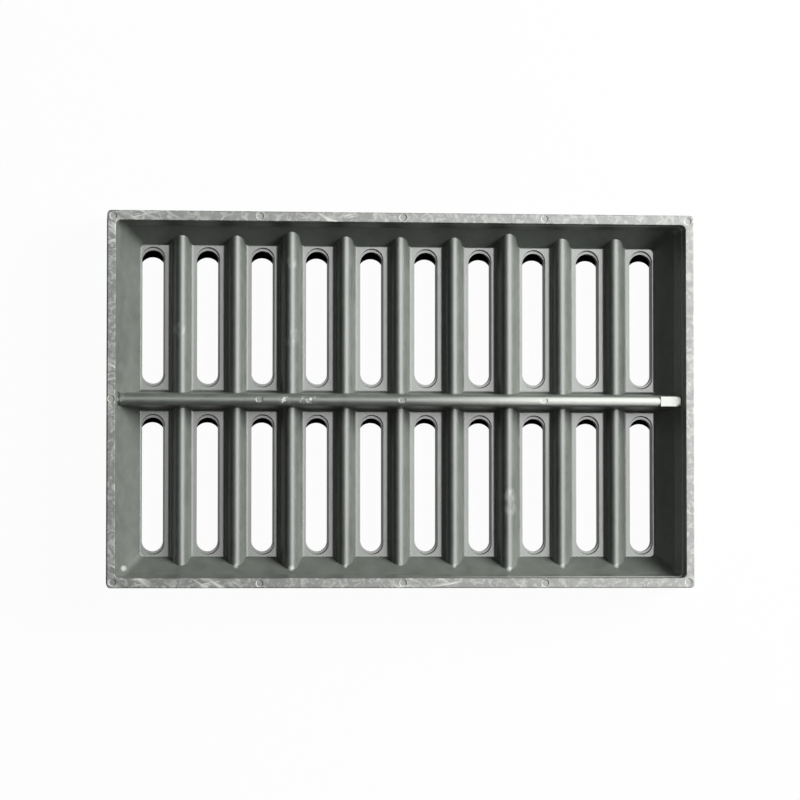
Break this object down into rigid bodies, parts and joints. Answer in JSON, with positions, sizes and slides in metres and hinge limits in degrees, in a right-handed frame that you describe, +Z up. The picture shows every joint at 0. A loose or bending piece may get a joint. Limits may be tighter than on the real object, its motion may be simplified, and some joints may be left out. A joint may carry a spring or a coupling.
{
  "type": "gully grate",
  "caption": "Rectangular moulded gully grate with rows of round-ended slots, cross ribs and a long middle rib inside a deep outer frame, shown with its ribbed underside up.",
  "frame": {"origin": "middle of the part in plan, at the level of the walking face's anti-slip bars that it lies on", "axes": "+X along the grate, towards the right in the picture, +Y across it, and +Z up from the walking face to the rim of the ribbed underside; in use the grate is turned over, so that +Z points down"},
  "size_m": [0.7, 0.445, 0.06],
  "materials": {
    "grate": "dark grey-green glass-filled polyester, semi-gloss from the mould and scuffed paler on the rim"
  },
  "bodies": {
    "root": {"grate": "grate"}
  },
  "joints": []
}
